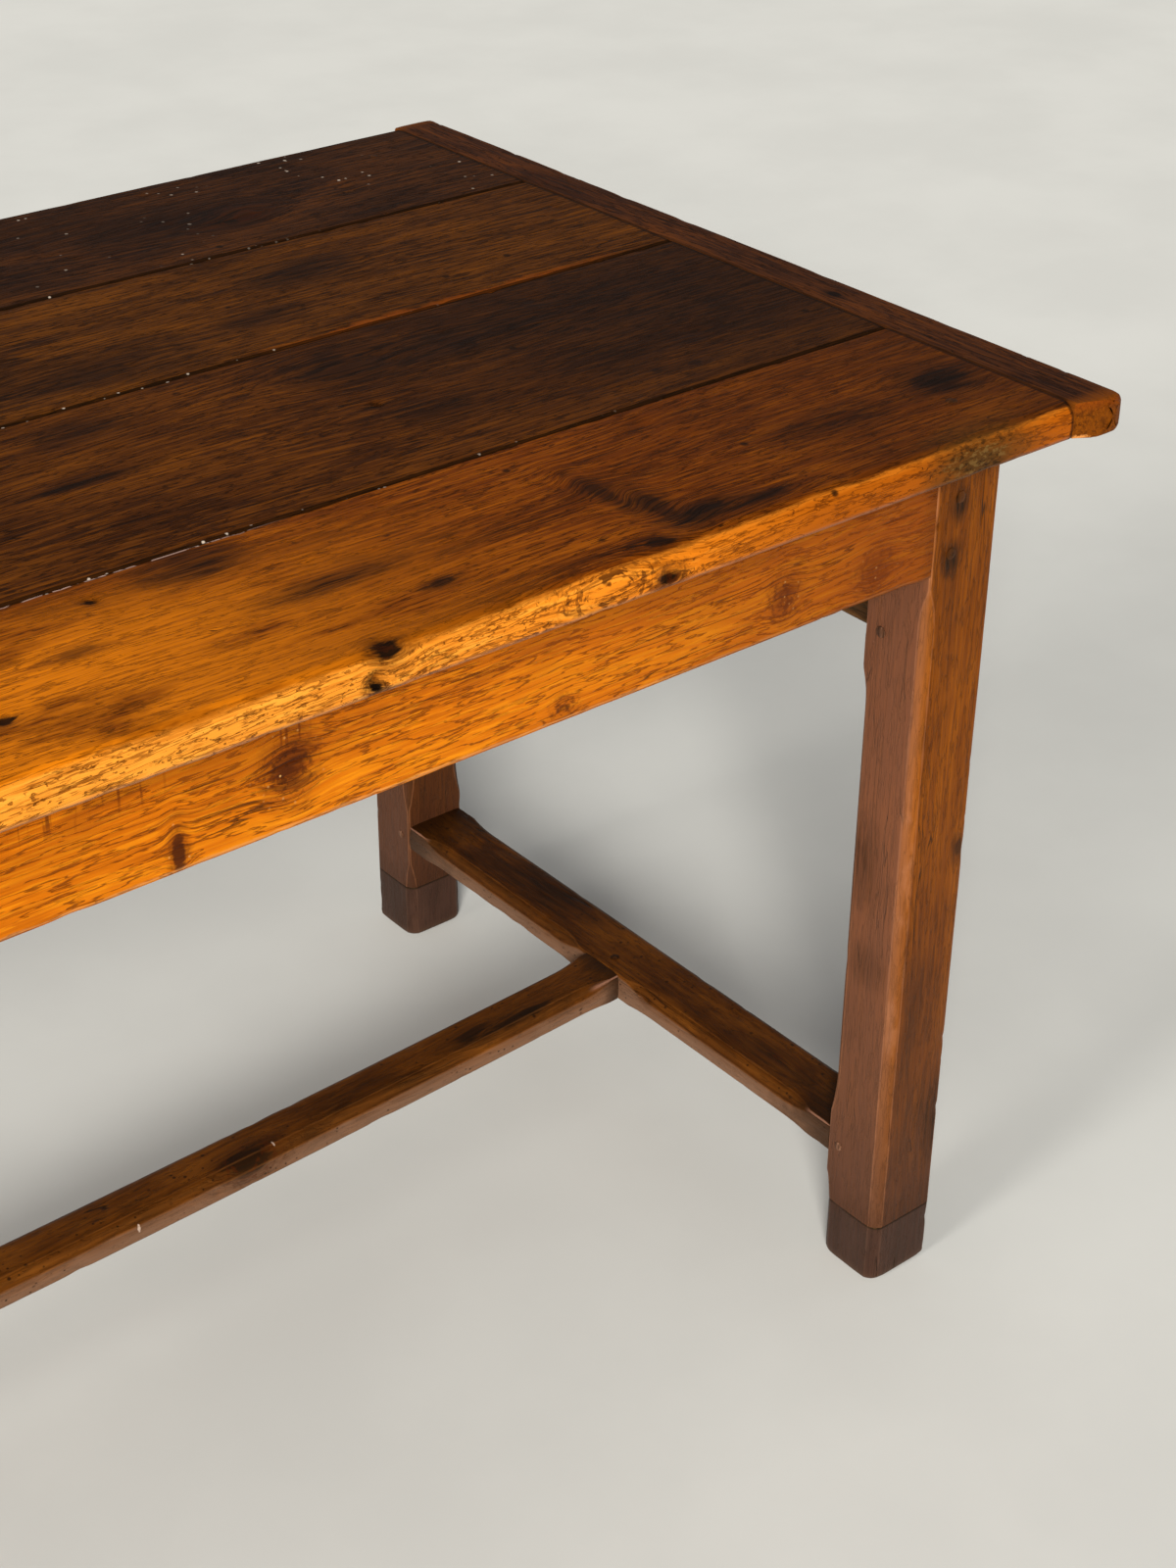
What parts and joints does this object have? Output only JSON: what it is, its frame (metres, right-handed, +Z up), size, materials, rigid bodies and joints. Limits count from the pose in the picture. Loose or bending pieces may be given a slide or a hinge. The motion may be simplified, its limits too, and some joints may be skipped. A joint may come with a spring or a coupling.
{
  "type": "farmhouse table",
  "caption": "Long oak farmhouse table with a plank top and breadboard ends, chamfered square legs on spliced feet, pegged aprons and an H-shaped stretcher.",
  "frame": {"origin": "on the floor, under the middle of the top", "axes": "+X along the table's length, +Y from the front to the back, +Z up"},
  "size_m": [2.006, 0.788, 0.76],
  "materials": {
    "oak_top": "waxed",
    "oak_frame": "waxed",
    "dark_feet": "waxed",
    "oak_pegs": "worn"
  },
  "bodies": {
    "root": {"top_plank_front": "oak_top", "top_plank_wide": "oak_top", "top_plank_inner": "oak_top", "top_plank_back": "oak_top", "breadboard_right": "oak_top", "end_apron_right": "oak_frame", "end_stretcher_right": "oak_frame", "leg_front_right": "oak_frame", "foot_front_right": "dark_feet", "leg_back_right": "oak_frame", "foot_back_right": "dark_feet", "breadboard_left": "oak_top", "end_apron_left": "oak_frame", "end_stretcher_left": "oak_frame", "leg_front_left": "oak_frame", "foot_front_left": "dark_feet", "leg_back_left": "oak_frame", "foot_back_left": "dark_feet", "long_apron_front": "oak_frame", "long_apron_back": "oak_frame", "centre_stretcher": "oak_frame", "long_apron_pegs": "oak_pegs", "end_apron_pegs": "oak_pegs", "end_stretcher_pegs": "oak_pegs", "centre_stretcher_pegs": "oak_pegs", "top_pegs": "oak_pegs", "breadboard_pegs": "oak_pegs", "foot_dowels": "oak_pegs"}
  },
  "joints": []
}
